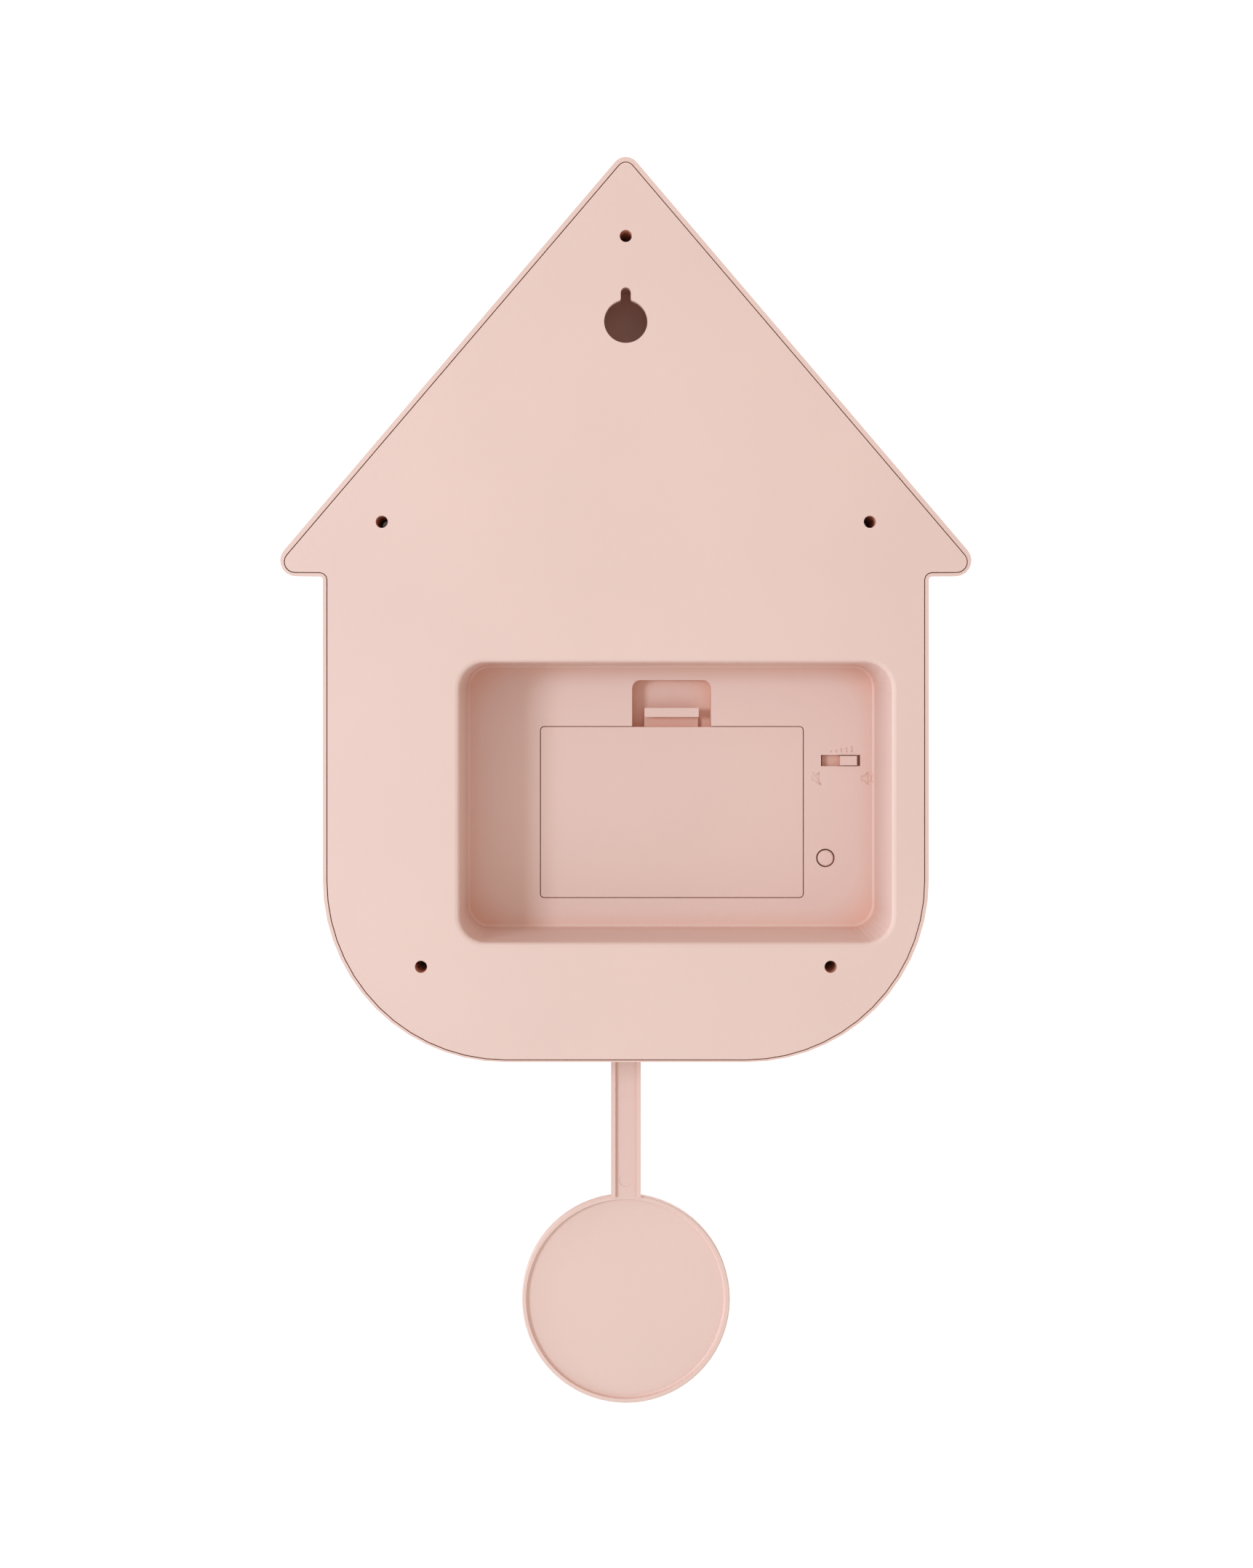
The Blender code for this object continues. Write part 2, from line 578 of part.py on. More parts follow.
def make_spring(number, x, y, base, cell_end, up):
    """A conical contact spring between its plate and a cell's flat end."""
    wire = 0.0004
    start = base + up * wire / 2
    stop = cell_end - up * (wire + GAP)
    curve = bpy.data.curves.new("spring", "CURVE")
    curve.dimensions = "3D"
    curve.bevel_depth = wire
    curve.bevel_resolution = 2
    curve.use_fill_caps = True
    spline = curve.splines.new("POLY")
    turns, per_turn = 2.25, 8
    count = int(turns * per_turn) + 1
    spline.points.add(count - 1)
    for index, point in enumerate(spline.points):
        part = index / (count - 1)
        angle = 2 * math.pi * turns * part
        radius = 0.0050 - 0.0024 * part
        height = start + (stop - start) * part
        point.co = (x + radius * math.cos(angle), y + radius * math.sin(angle), height, 1.0)
    guide = bpy.data.objects.new("spring_curve", curve)
    CUTTERS.objects.link(guide)
    bpy.context.view_layer.update()
    mesh = bpy.data.meshes.new_from_object(guide.evaluated_get(bpy.context.evaluated_depsgraph_get()))
    bpy.data.objects.remove(guide)
    made = bmesh.new()
    made.from_mesh(mesh)
    bmesh.ops.remove_doubles(made, verts=made.verts, dist=0.000002)
    bmesh.ops.recalc_face_normals(made, faces=made.faces)
    made.to_mesh(mesh)
    made.free()
    mesh.materials.clear()
    return add_object(f"contact_spring_{number}", mesh, "steel")


# ---- electronics --------------------------------------------------------------------------------------
def make_electronics():
    face = BOARD_Y + GAP
    box("circuit_board", BOARD_X, (BOARD_Y - 0.0016, BOARD_Y), BOARD_Z, "board")
    box("control_chip", (-0.0760, -0.0660), (face, face + 0.0016), (-0.1250, -0.1150), "black")
    slot_x = (SLOT_X[0] + SLOT_X[1]) / 2
    slot_z = (SLOT_Z[0] + SLOT_Z[1]) / 2
    half_x, half_z = 0.006, 0.003
    box("switch_body", (slot_x - half_x, slot_x + half_x), (face, -0.0366),
        (slot_z - half_z, slot_z + half_z), "steel")
    knob_z = (SLOT_Z[0] + GAP, SLOT_Z[1] - GAP)
    knob = box("volume_knob", KNOB_X, (-0.0360, -0.0314), knob_z, "case")
    join(knob, box("skirt", SKIRT_X, (-0.0363, -0.0347), (knob_z[0] - 0.0015, knob_z[1] + 0.0015)))
    knob_middle = (KNOB_X[0] + KNOB_X[1]) / 2
    set_origin(knob, (knob_middle, -0.0314, slot_z))

    x, z = BUTTON_SPOT
    switch = box("button_switch", (x - 0.003, x + 0.003), (face, -0.0376), (z - 0.003, z + 0.003), "steel")
    join(switch, cone("plunger", (x, 0, z), 0.0017, -0.0380, -0.0369, segments=16))
    profile = [(0.0, -0.0356), (0.0036, -0.0356), (0.0036, -0.0348), (BUTTON_RADIUS, -0.0348),
               (BUTTON_RADIUS, -0.0316), (BUTTON_RADIUS - 0.0004, -0.0312), (0.0, -0.0311)]
    button = turned("set_button", profile, (x, 0, z), "Y", "case", segments=32)
    set_origin(button, (x, -0.0311, z))

    sensor = cone("light_sensor", (0, 0, -0.1655), 0.0013, -0.0776, -0.0745, segments=16, finish="black")
    join(sensor, box("sensor_base", (-0.003, 0.003), (-0.0752, -0.0720), (-0.1685, -0.1625)))


def make_speaker():
    spot = (0, 0, SPEAKER_Z)
    basket = [(0.0175, -0.0752), (0.0200, -0.0752), (0.0200, -0.0740), (0.0185, -0.0740), (0.0110, -0.0640),
              (0.0040, -0.0640), (0.0040, -0.0650), (0.0102, -0.0650), (0.0173, -0.0735), (0.0175, -0.0752)]
    turned("speaker_frame", basket, spot, "Y", "black", segments=28)
    diaphragm = [(0.0, -0.0679), (0.0057, -0.0679), (0.0165, -0.0744), (0.0169, -0.0741), (0.0060, -0.0672),
                 (0.0, -0.0672)]
    turned("speaker_cone", diaphragm, spot, "Y", "cone", segments=24)
    magnet = [(0.0, -0.0637), (0.0088, -0.0637), (0.0092, -0.0633), (0.0092, -0.0602), (0.0, -0.0602)]
    turned("speaker_magnet", magnet, spot, "Y", "steel", segments=28)


# ---- clock movement, dial and hands -------------------------------------------------------------------
def gear_outline(x, z, pitch_radius, teeth, start=0.0, fine=False):
    """A toothed outline; a tooth points along the start angle, measured from +X towards +Z."""
    unit = 2 * pitch_radius / teeth
    tip, root = pitch_radius + 0.70 * unit, pitch_radius - 0.95 * unit
    step = 2 * math.pi / teeth
    shape = [(-0.14, tip), (0.14, tip), (0.30, root), (0.70, root)]
    if fine:
        shape = [(0.0, tip), (0.5, root)]
    outline = []
    for tooth in range(teeth):
        for place, radius in shape:
            angle = start + step * (tooth + place)
            outline.append((x + radius * math.cos(angle), z + radius * math.sin(angle)))
    return outline


def make_movement():
    low, high = DIAL_Z - 0.028, DIAL_Z + 0.028
    axis = (0, 0, DIAL_Z)
    case = box("movement_case", (-0.028, 0.028), (-0.0752, -0.0600), (low, high), "black")
    cut(case, box("movement_hollow", (-0.0265, 0.0265), (-0.0737, -0.059), (low + 0.0015, high - 0.0015)))
    join(case, cone("threaded_tube", axis, 0.0040, -0.0798, -0.0740, segments=28))
    cut(case, cone("tube_bore", axis, 0.0030, -0.081, -0.073, segments=20))
    box("movement_cover", (-0.028, 0.028), (-0.0597, -0.0582), (low, high), "black")
    nut = cone("movement_nut", axis, 0.0068, -0.0795, -0.0782, segments=6, finish="brass")
    cut(nut, cone("nut_bore", axis, 0.0043, -0.081, -0.077, segments=20))

    hour_tube = [(0.0016, -0.0810), (0.0026, -0.0810), (0.0026, -0.0725), (0.0016, -0.0725),
                 (0.0016, -0.0810)]
    hour = turned("hour_wheel", hour_tube, axis, "Y", "white", segments=16)
    hour_disc = plate("hour_disc", gear_outline(0, DIAL_Z, HOUR_PITCH, 32, math.pi / 32, True),
                      (-0.0732, -0.0722))
    cut(hour_disc, cone("hour_bore", axis, 0.0020, -0.074, -0.0715, segments=16))
    join(hour, hour_disc)
    set_origin(hour, (0.0, -0.0725, DIAL_Z))

    arbor = [(0.0, -0.0820), (0.0013, -0.0820), (0.0013, -0.0650), (0.0008, -0.0650), (0.0008, -0.0605),
             (0.0, -0.0605)]
    centre = turned("centre_wheel", arbor, axis, "Y", "white", segments=16)
    join(centre, plate("centre_disc", gear_outline(0, DIAL_Z, CENTRE_PITCH, 45, math.pi, True),
                       (-0.0664, -0.0656)),
         plate("cannon", gear_outline(0, DIAL_Z, CANNON_PITCH, 10, math.pi / 10), (-0.0717, -0.0702)))
    set_origin(centre, (0.0, -0.0665, DIAL_Z))

    x = IDLER_X
    idler = plate("minute_wheel", gear_outline(x, DIAL_Z, IDLER_PITCH, 30, math.pi, True),
                  (-0.0715, -0.0707), "white")
    join(idler, plate("idler_pinion", gear_outline(x, DIAL_Z, IDLER_PINION_PITCH, 8, math.pi),
                      (-0.0731, -0.0710)),
         cone("idler_shaft", (x, 0, DIAL_Z), 0.0006, -0.0712, -0.0670, segments=10))
    set_origin(idler, (x, -0.0710, DIAL_Z))

    x = THIRD_X
    third = plate("third_wheel", gear_outline(x, DIAL_Z, THIRD_PITCH, 48, math.radians(225), True),
                  (-0.0637, -0.0630), "white")
    join(third, plate("third_pinion", gear_outline(x, DIAL_Z, THIRD_PINION_PITCH, 6, math.pi / 6),
                      (-0.0666, -0.0632)),
         cone("third_shaft", (x, 0, DIAL_Z), 0.0005, -0.0725, -0.0606, segments=10))
    set_origin(third, (x, -0.0635, DIAL_Z))

    reach = 0.0090 / math.sqrt(2)
    spot = (x - reach, 0, DIAL_Z - reach)
    rotor_profile = [(0.0, -0.0728), (0.0005, -0.0728), (0.0005, -0.0705), (0.0030, -0.0705),
                     (0.0030, -0.0675), (0.0005, -0.0675), (0.0005, -0.0610), (0.0, -0.0610)]
    rotor = turned("motor_rotor", rotor_profile, spot, "Y", "steel", segments=16)
    teeth = gear_outline(spot[0], spot[2], ROTOR_PINION_PITCH, 6, math.radians(45 + 30))
    join(rotor, plate("rotor_pinion", teeth, (-0.0641, -0.0626)))
    set_origin(rotor, (spot[0], -0.0690, spot[2]))

    coil = cone("motor_coil", (-0.0210, -0.0690, 0), 0.0034, DIAL_Z + 0.0030, DIAL_Z + 0.0220,
                "Z", "copper", 16)
    for end in (DIAL_Z + 0.0020, DIAL_Z + 0.0215):
        join(coil, box("bobbin_end", (-0.0250, -0.0170), (-0.0730, -0.0650), (end, end + 0.0015)))


def hand(name, angle, length, tail, widths, y, bore, finish):
    """A tapered clock hand with a round hub, turned to an angle clockwise from twelve."""
    root, tip = widths
    outline = fillet([(-root / 2, 0.0, 0, 0), (-root / 2, -tail, 0.001, 3), (root / 2, -tail, 0.001, 3),
                      (root / 2, 0.0, 0, 0), (tip / 2, length, 0.0006, 3), (-tip / 2, length, 0.0006, 3)])
    turn = Matrix.Rotation(-angle, 2)
    placed = [tuple(turn @ Vector(point) + Vector((0.0, DIAL_Z))) for point in outline]
    made = plate(name, placed, y, finish)
    join(made, cone("hub", (0, 0, DIAL_Z), bore + 0.0026, y[0], y[1], segments=28))
    cut(made, cone("hub_bore", (0, 0, DIAL_Z), bore, y[0] - 0.001, y[1] + 0.001, segments=20))
    return set_origin(made, (0.0, (y[0] + y[1]) / 2, DIAL_Z))


def make_dial_and_hands():
    axis = (0, 0, DIAL_Z)
    dial = cone("dial_face", axis, DIAL_RADIUS, -0.0779, -0.0771, segments=60, finish="cream")
    for hour in range(12):
        angle = math.pi / 6 * hour
        half = 0.0011 if hour % 3 else 0.0016
        inner = 0.0455 if hour % 3 else 0.0430
        turn = Matrix.Rotation(-angle, 2)
        corners = [(-half, inner), (half, inner), (half, 0.0500), (-half, 0.0500)]
        outline = [tuple(turn @ Vector(point) + Vector((0.0, DIAL_Z))) for point in corners]
        join(dial, plate("marker", outline, (-0.0783, -0.0775)))
    cut(dial, cone("dial_bore", axis, 0.0044, -0.079, -0.076, segments=24))
    ring = [(DIAL_RADIUS + GAP, -0.0771), (DIAL_RADIUS + GAP, -0.0803), (DIAL_RADIUS + 0.0010, -0.0812),
            (RING_OUTER - 0.0012, -0.0812), (RING_OUTER - 0.0003, -0.0803), (RING_OUTER, -0.0771),
            (DIAL_RADIUS + GAP, -0.0771)]
    turned("dial_ring", ring, axis, "Y", "trim", segments=60)
    hand("hour_hand", math.radians(305), 0.0290, 0.0070, (0.0050, 0.0034), (-0.0806, -0.0800), 0.0029,
         "trim")
    hand("minute_hand", math.radians(60), 0.0430, 0.0090, (0.0042, 0.0026), (-0.0818, -0.0812), 0.0016,
         "trim")
    cap = [(0.0, -0.0830), (0.0022, -0.0830), (0.0030, -0.0826), (0.0030, -0.0821), (0.0, -0.0821)]
    set_origin(turned("hand_cap", cap, axis, "Y", "brass", segments=20), (0.0, -0.0825, DIAL_Z))


# ---- bird, its slide and its doors --------------------------------------------------------------------
BAR_HALF = 0.0060
BAR_Y = (-0.0660, -0.0090)
BAR_Z = (-0.0314, -0.0288)
RACK_LINE_Z = BAR_Z[0] - 0.00075
GEAR_RADIUS = RACK_PITCH * GEAR_TEETH / (2 * math.pi)
PINION_RADIUS = RACK_PITCH * PINION_TEETH / (2 * math.pi)
BACKLASH = 0.00025
GEAR_Y = -0.0420
GEAR_Z = RACK_LINE_Z - GEAR_RADIUS - BACKLASH
PINION_Y = GEAR_Y + GEAR_RADIUS + PINION_RADIUS + BACKLASH


def ellipsoid(name, centre, radii, finish=None, segments=16, rings=10):
    made = bmesh.new()
    bmesh.ops.create_uvsphere(made, u_segments=segments, v_segments=rings, radius=1.0)
    bmesh.ops.scale(made, vec=radii, verts=made.verts)
    bmesh.ops.translate(made, vec=centre, verts=made.verts)
    mesh = bpy.data.meshes.new(name)
    made.to_mesh(mesh)
    made.free()
    mesh.shade_smooth()
    return add_object(name, mesh, finish)


def make_bird():
    bird = ellipsoid("bird_body", (0, -0.0580, -0.0145), (0.0068, 0.0115, 0.0075), "bird")
    join(bird, ellipsoid("head", (0, -0.0665, -0.0085), (0.0050, 0.0052, 0.0050)),
         ellipsoid("tail", (0, -0.0455, -0.0125), (0.0038, 0.0080, 0.0013), segments=12, rings=6))
    for side in (-1, 1):
        join(bird, ellipsoid("wing", (side * 0.0062, -0.0560, -0.0140), (0.0016, 0.0085, 0.0048),
                             segments=12, rings=6))
    cut(bird, cone("beak_socket", (0, 0, -0.0090), 0.0015, -0.073, -0.0700, segments=16))
    beak = turned("bird_beak", [(0.0, -0.0745), (0.0004, -0.0743), (0.0012, -0.0716), (0.0012, -0.0703),
                                (0.0, -0.0703)], (0, 0, -0.0090), "Y", "beak", segments=16)
    origin = (0.0, -0.0420, BAR_Z[1])
    set_origin(bird, origin)
    set_origin(beak, origin)

    bar = box("bird_carriage", (-BAR_HALF, BAR_HALF), BAR_Y, BAR_Z, "white")
    join(bar, cone("perch", (0, -0.0580, 0), 0.0022, BAR_Z[1] - 0.001, -0.0223, "Z", segments=16))
    cut(bar, ellipsoid("body_room", (0, -0.0580, -0.0145), (0.0071, 0.0118, 0.0078)))
    crest, foot = RACK_LINE_Z - 0.00045, BAR_Z[0] + 0.0002
    for tooth in range(-1, 16):
        y = GEAR_Y + RACK_PITCH * (tooth + 0.5)
        outline = [(y - 0.00072, foot), (y + 0.00072, foot), (y + 0.00028, crest), (y - 0.00028, crest)]
        join(bar, side_plate("rack_tooth", outline, (-0.0018, 0.0018)))
    set_origin(bar, origin)

    gear_teeth = gear_outline(-GEAR_Y, GEAR_Z, GEAR_RADIUS, GEAR_TEETH, math.pi / 2)
    gear = side_plate("bird_gear", [(-a, b) for a, b in gear_teeth], (-0.0016, 0.0016), "white")
    cut(gear, cone("gear_bore", (0, GEAR_Y, GEAR_Z), 0.0013, -0.003, 0.003, "X", segments=16))
    set_origin(gear, (0.0, GEAR_Y, GEAR_Z))
    cone("bird_axle", (0, GEAR_Y, GEAR_Z), 0.0010, -0.0060, 0.0048, "X", "steel", 16)

    pinion_teeth = gear_outline(-PINION_Y, GEAR_Z, PINION_RADIUS, PINION_TEETH, math.pi / PINION_TEETH)
    pinion = side_plate("motor_pinion", [(-a, b) for a, b in pinion_teeth], (-0.0016, 0.0016), "brass")
    join(pinion, cone("motor_shaft", (0, PINION_Y, GEAR_Z), 0.0008, -0.0020, 0.0130, "X", segments=12))
    set_origin(pinion, (0.0, PINION_Y, GEAR_Z))
    motor = cone("bird_motor", (0, PINION_Y, GEAR_Z), 0.0075, 0.0096, 0.0275, "X", "steel", 28)
    join(motor, cone("rear_hub", (0, PINION_Y, GEAR_Z), 0.0030, 0.0270, 0.0295, "X", segments=16))
    cut(motor, cone("shaft_bore", (0, PINION_Y, GEAR_Z), 0.0011, 0.008, 0.0135, "X", segments=12))


def make_bird_frame():
    frame = box("bird_frame", (-0.0093, 0.0093), (-0.0722, -0.0060), (-0.0365, -0.0270), "white")
    for side in (-1, 1):
        near, far = sorted((side * 0.0026, side * 0.0050))
        rear = -0.0370 if side < 0 else -0.0235
        join(frame, box("cheek", (near, far), (-0.0470, rear), (-0.0455, -0.0360)))
    join(frame, box("motor_seat", (0.0048, 0.0093), (-0.0385, -0.0235), (-0.0455, -0.0360)))
    slot = (-0.0024, 0.0024)
    cut(frame, box("bar_room", (-0.0063, 0.0063), (-0.073, -0.0080), (BAR_Z[0] - GAP, BAR_Z[1] + GAP)),
        box("top_slot", (-0.0045, 0.0045), (-0.073, -0.0080), (BAR_Z[1], -0.026)),
        box("rack_slot", slot, (-0.073, -0.0075), (-0.0340, BAR_Z[0])),
        box("gear_window", slot, (GEAR_Y - 0.010, PINION_Y + 0.0035), (-0.037, -0.0335)),
        cone("axle_bore", (0, GEAR_Y, GEAR_Z), 0.0013, -0.0055, 0.0055, "X", segments=16),
        cone("pinion_bore", (0, PINION_Y, GEAR_Z), 0.0014, 0.002, 0.010, "X", segments=16))


def make_bird_doors():
    for side, name in ((-1, "bird_door_left"), (1, "bird_door_right")):
        x = sorted((side * GAP, side * LEAF_OUTER))
        z = (BIRD_DOOR_Z[0] + 0.0001, BIRD_DOOR_Z[1] - 0.0001)
        leaf = box(name, x, (-CASE_DEPTH + 0.0002, -0.0758), z, "trim")
        for low, high in ((z[0] - 0.0014, z[0] + 0.001), (z[1] - 0.001, z[1] + 0.0014)):
            join(leaf, cone("stub", (side * LEAF_AXIS_X, LEAF_AXIS_Y, 0), STUB_HOLE - GAP, low, high, "Z",
                            segments=12))
        panel_x = sorted((side * 0.0030, side * 0.0125))
        cut(leaf, box("panel", panel_x, (-0.079, -CASE_DEPTH + 0.0006), (z[0] + 0.003, z[1] - 0.003)))
        set_origin(leaf, (side * LEAF_AXIS_X, LEAF_AXIS_Y, (z[0] + z[1]) / 2))


# ---- pendulum -----------------------------------------------------------------------------------------
def make_pendulum():
    """Rod and bob are one moulding: a channelled rod running into the rim of a shallow round cup."""
    half = ROD_THICK / 2
    eye = ROD_WIDTH / 2
    web_y = PIVOT_Y + half - ROD_CHANNEL
    bob_top = BOB_Z + BOB_RADIUS
    r = BOB_RADIUS
    front = web_y - BOB_THICK
    floor = web_y - BOB_RECESS
    profile = [(0.0, front), (r - 0.0040, front), (r - 0.0012, front + 0.0008), (r, front + 0.0024),
               (r, web_y - 0.0003), (r - 0.0003, web_y), (r - BOB_RIM, web_y),
               (r - BOB_RIM - 0.0002, floor + 0.0003), (r - BOB_RIM - 0.0006, floor), (0.0, floor)]
    pendulum = turned("pendulum", profile, (PIVOT_X, 0, BOB_Z), "Y", "case", segments=72)

    bottom = bob_top - 0.0005
    left, right = PIVOT_X - eye, PIVOT_X + eye
    round_end = eye - 0.00001
    outline = fillet([(left, bottom, 0, 0), (right, bottom, 0, 0), (right, PIVOT_Z + eye, round_end, 10),
                      (left, PIVOT_Z + eye, round_end, 10)])
    rod = plate("rod", outline, (PIVOT_Y - half, PIVOT_Y + half))
    web = (left + ROD_FLANGE, right - ROD_FLANGE)
    behind = PIVOT_Y + 0.004
    mark = (PIVOT_X, 0, bob_top + EJECTOR_RISE)
    cut(rod, box("channel", web, (web_y, behind), (bottom - OVERCUT, PIVOT_Z - 0.006)),
        cone("eye_bore", (PIVOT_X, 0, PIVOT_Z), PIN_BORE, PIVOT_Y - 0.004, behind, segments=20),
        cone("ejector_mark", mark, EJECTOR_RADIUS, web_y - EJECTOR_DEPTH, behind, segments=24))
    join(pendulum, rod)
    make_pendulum_drive(PIVOT_Y - half, pendulum)


def make_pendulum_drive(rod_front, pendulum):
    """The pin that the rod hangs on, its clip, and the coil that nudges the rod's magnet."""
    pivot = (PIVOT_X, 0, PIVOT_Z)
    face = HOUSING_Y[1]
    housing_x = (PIVOT_X - HOUSING_HALF, PIVOT_X + HOUSING_HALF)
    housing = box("drive_housing", housing_x, HOUSING_Y, HOUSING_Z, "white")
    cut(housing, cone("pin_bore", pivot, PIN_BORE, face - 0.0040, face + OVERCUT, segments=20))
    pin_end = CLIP_Y[1] + 0.0015
    cone("pivot_pin", pivot, PIN_BORE - GAP, face - 0.0040 + GAP, pin_end, finish="steel", segments=20)
    clip = cone("pin_clip", pivot, 0.0028, *CLIP_Y, finish="steel", segments=20)
    cut(clip, cone("clip_bore", pivot, PIN_BORE, CLIP_Y[0] - OVERCUT, CLIP_Y[1] + OVERCUT, segments=20))
    spot = (PIVOT_X, 0, COIL_Z)
    coil_y = (face + GAP, face + GAP + COIL_THICK)
    coil = cone("drive_coil", spot, 0.0062, *coil_y, finish="copper", segments=28)
    cut(coil, cone("coil_bore", spot, 0.0022, coil_y[0] - OVERCUT, coil_y[1] + OVERCUT, segments=16))
    magnet = cone("pendulum_magnet", spot, 0.0040, coil_y[1] + 0.0007, rod_front - GAP, finish="steel",
                  segments=24)
    for part in (pendulum, magnet):
        set_origin(part, (PIVOT_X, PIVOT_Y, PIVOT_Z))


make_front_case()
make_rear_cover()
make_case_screws()
make_battery_door()
make_battery_latch()
make_cells()
make_electronics()
make_speaker()
make_movement()
make_dial_and_hands()
make_bird()
make_bird_frame()
make_bird_doors()
make_pendulum()
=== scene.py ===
"""Looks for the cuckoo clock: materials, fine surface detail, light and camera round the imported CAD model."""
import json
import math

import bmesh
import bpy
from mathutils import Matrix, Vector


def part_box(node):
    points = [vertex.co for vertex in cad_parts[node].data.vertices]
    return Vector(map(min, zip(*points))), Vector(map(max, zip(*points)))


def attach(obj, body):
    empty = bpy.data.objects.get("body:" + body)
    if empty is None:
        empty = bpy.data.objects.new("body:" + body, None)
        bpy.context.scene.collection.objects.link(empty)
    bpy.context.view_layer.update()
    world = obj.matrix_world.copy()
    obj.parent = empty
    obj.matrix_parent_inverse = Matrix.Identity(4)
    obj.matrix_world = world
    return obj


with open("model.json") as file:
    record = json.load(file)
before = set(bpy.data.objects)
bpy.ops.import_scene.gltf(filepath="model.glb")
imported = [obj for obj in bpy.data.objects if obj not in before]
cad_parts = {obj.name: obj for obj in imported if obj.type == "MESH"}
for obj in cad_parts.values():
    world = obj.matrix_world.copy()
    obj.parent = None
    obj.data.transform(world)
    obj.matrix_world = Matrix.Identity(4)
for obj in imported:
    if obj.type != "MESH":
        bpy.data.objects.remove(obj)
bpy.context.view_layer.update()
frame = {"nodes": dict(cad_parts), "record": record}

# ---- camera -------------------------------------------------------------------------------------------
CAMERA_X, CAMERA_Z = 0.0134, -0.1144    # where the line of sight meets the back plane squarely
CAMERA_DISTANCE = 0.62
SENSOR = 36.0
FRAME_HEIGHT = 0.476                    # height of the picture at the back plane
SHIFT_X, SHIFT_Y = 0.0286, -0.0733


def make_camera():
    data = bpy.data.cameras.new("camera")
    camera = bpy.data.objects.new("camera", data)
    bpy.context.scene.collection.objects.link(camera)
    camera.location = (CAMERA_X, CAMERA_DISTANCE, CAMERA_Z)
    camera.rotation_euler = (math.pi / 2, 0.0, math.pi)
    data.sensor_fit = "VERTICAL"
    data.sensor_height = SENSOR
    data.lens = SENSOR * CAMERA_DISTANCE / FRAME_HEIGHT
    data.shift_x = SHIFT_X
    data.shift_y = SHIFT_Y
    data.clip_start = 0.01
    bpy.context.scene.camera = camera


make_camera()


# ---- materials ----------------------------------------------------------------------------------------
class Nodes:
    """A short way to build one Principled material."""

    def __init__(self, name, roughness, metallic=0.0, specular=0.5):
        self.material = bpy.data.materials.new(name)
        self.material.use_nodes = True
        self.tree = self.material.node_tree
        self.shader = self.tree.nodes["Principled BSDF"]
        self.shader.inputs["Roughness"].default_value = roughness
        self.shader.inputs["Metallic"].default_value = metallic
        self.shader.inputs["Specular IOR Level"].default_value = specular
        self.place = self.add("ShaderNodeTexCoord").outputs["Object"]

    def add(self, kind, **values):
        node = self.tree.nodes.new(kind)
        for key, value in values.items():
            setattr(node, key, value)
        return node

    def link(self, source, target):
        self.tree.links.new(source, target)

    def noise(self, scale, detail=3.0, roughness=0.5, stretch=None):
        node = self.add("ShaderNodeTexNoise")
        node.inputs["Scale"].default_value = scale
        node.inputs["Detail"].default_value = detail
        node.inputs["Roughness"].default_value = roughness
        place = self.place
        if stretch:
            mapping = self.add("ShaderNodeMapping")
            mapping.inputs["Scale"].default_value = stretch
            self.link(place, mapping.inputs["Vector"])
            place = mapping.outputs["Vector"]
        self.link(place, node.inputs["Vector"])
        return node.outputs["Fac"]

    def ramp(self, source, stops):
        node = self.add("ShaderNodeValToRGB")
        ramp = node.color_ramp
        while len(ramp.elements) < len(stops):
            ramp.elements.new(0.5)
        for element, (position, colour) in zip(ramp.elements, stops):
            element.position = position
            element.color = (*colour, 1.0)
        self.link(source, node.inputs["Fac"])
        return node.outputs["Color"]

    def spread(self, source, low, high):
        node = self.add("ShaderNodeMapRange")
        node.inputs["To Min"].default_value = low
        node.inputs["To Max"].default_value = high
        self.link(source, node.inputs["Value"])
        return node.outputs["Result"]

    def openness(self, distance):
        """How open the surface is, from 0 in a closed corner to 1 on an outer face; it masks the painted shade
        in hollows.
        """
        node = self.add("ShaderNodeAmbientOcclusion", samples=8)
        node.inputs["Distance"].default_value = distance
        return node.outputs["AO"]

    def mix(self, factor, first, second):
        """Blend a colour output towards a fixed colour."""
        node = self.add("ShaderNodeMix", data_type="RGBA")
        self.link(factor, node.inputs["Factor"])
        self.link(first, node.inputs["A"])
        node.inputs["B"].default_value = (*second, 1.0)
        return node.outputs["Result"]

    def bump(self, source, depth, below=None, strength=1.0):
        node = self.add("ShaderNodeBump")
        node.inputs["Strength"].default_value = strength
        node.inputs["Distance"].default_value = depth
        self.link(source, node.inputs["Height"])
        if below is not None:
            self.link(below, node.inputs["Normal"])
        return node.outputs["Normal"]


def shade(colour, factor):
    return tuple(min(channel * factor, 1.0) for channel in colour)


def moulded_plastic(name, colour, roughness=0.5, drift=0.02, grain=0.000012, specular=0.4, painted_shade_colour=None):
    """Satin injection moulding: faint cloudy colour drift, fine spark grain and soft flow waves.

    A painted shade colour, masked by how open the surface is, darkens and saturates hollows and corners in
    place of their shadow and bounced light.
    """
    made = Nodes(name, roughness, specular=specular)
    cloud = made.noise(14.0, 2.0)
    fleck = made.noise(900.0, 2.0, 0.6)
    base = made.ramp(cloud, [(0.3, shade(colour, 1 - drift)), (0.7, shade(colour, 1 + drift))])
    # painted shade: hollows and corners blend towards the painted shade colour by ambient occlusion
    if painted_shade_colour:
        base = made.mix(made.ramp(made.openness(PAINTED_SHADE_REACH), [(0.1, (1, 1, 1)), (0.75, (0, 0, 0))]), base, painted_shade_colour)
    made.link(base, made.shader.inputs["Base Color"])
    made.link(made.spread(fleck, roughness - 0.05, roughness + 0.05), made.shader.inputs["Roughness"])
    waves = made.bump(made.noise(35.0, 1.0), 0.00004)
    made.link(made.bump(made.noise(2600.0, 2.0, 0.7), grain, waves), made.shader.inputs["Normal"])
    return made.material


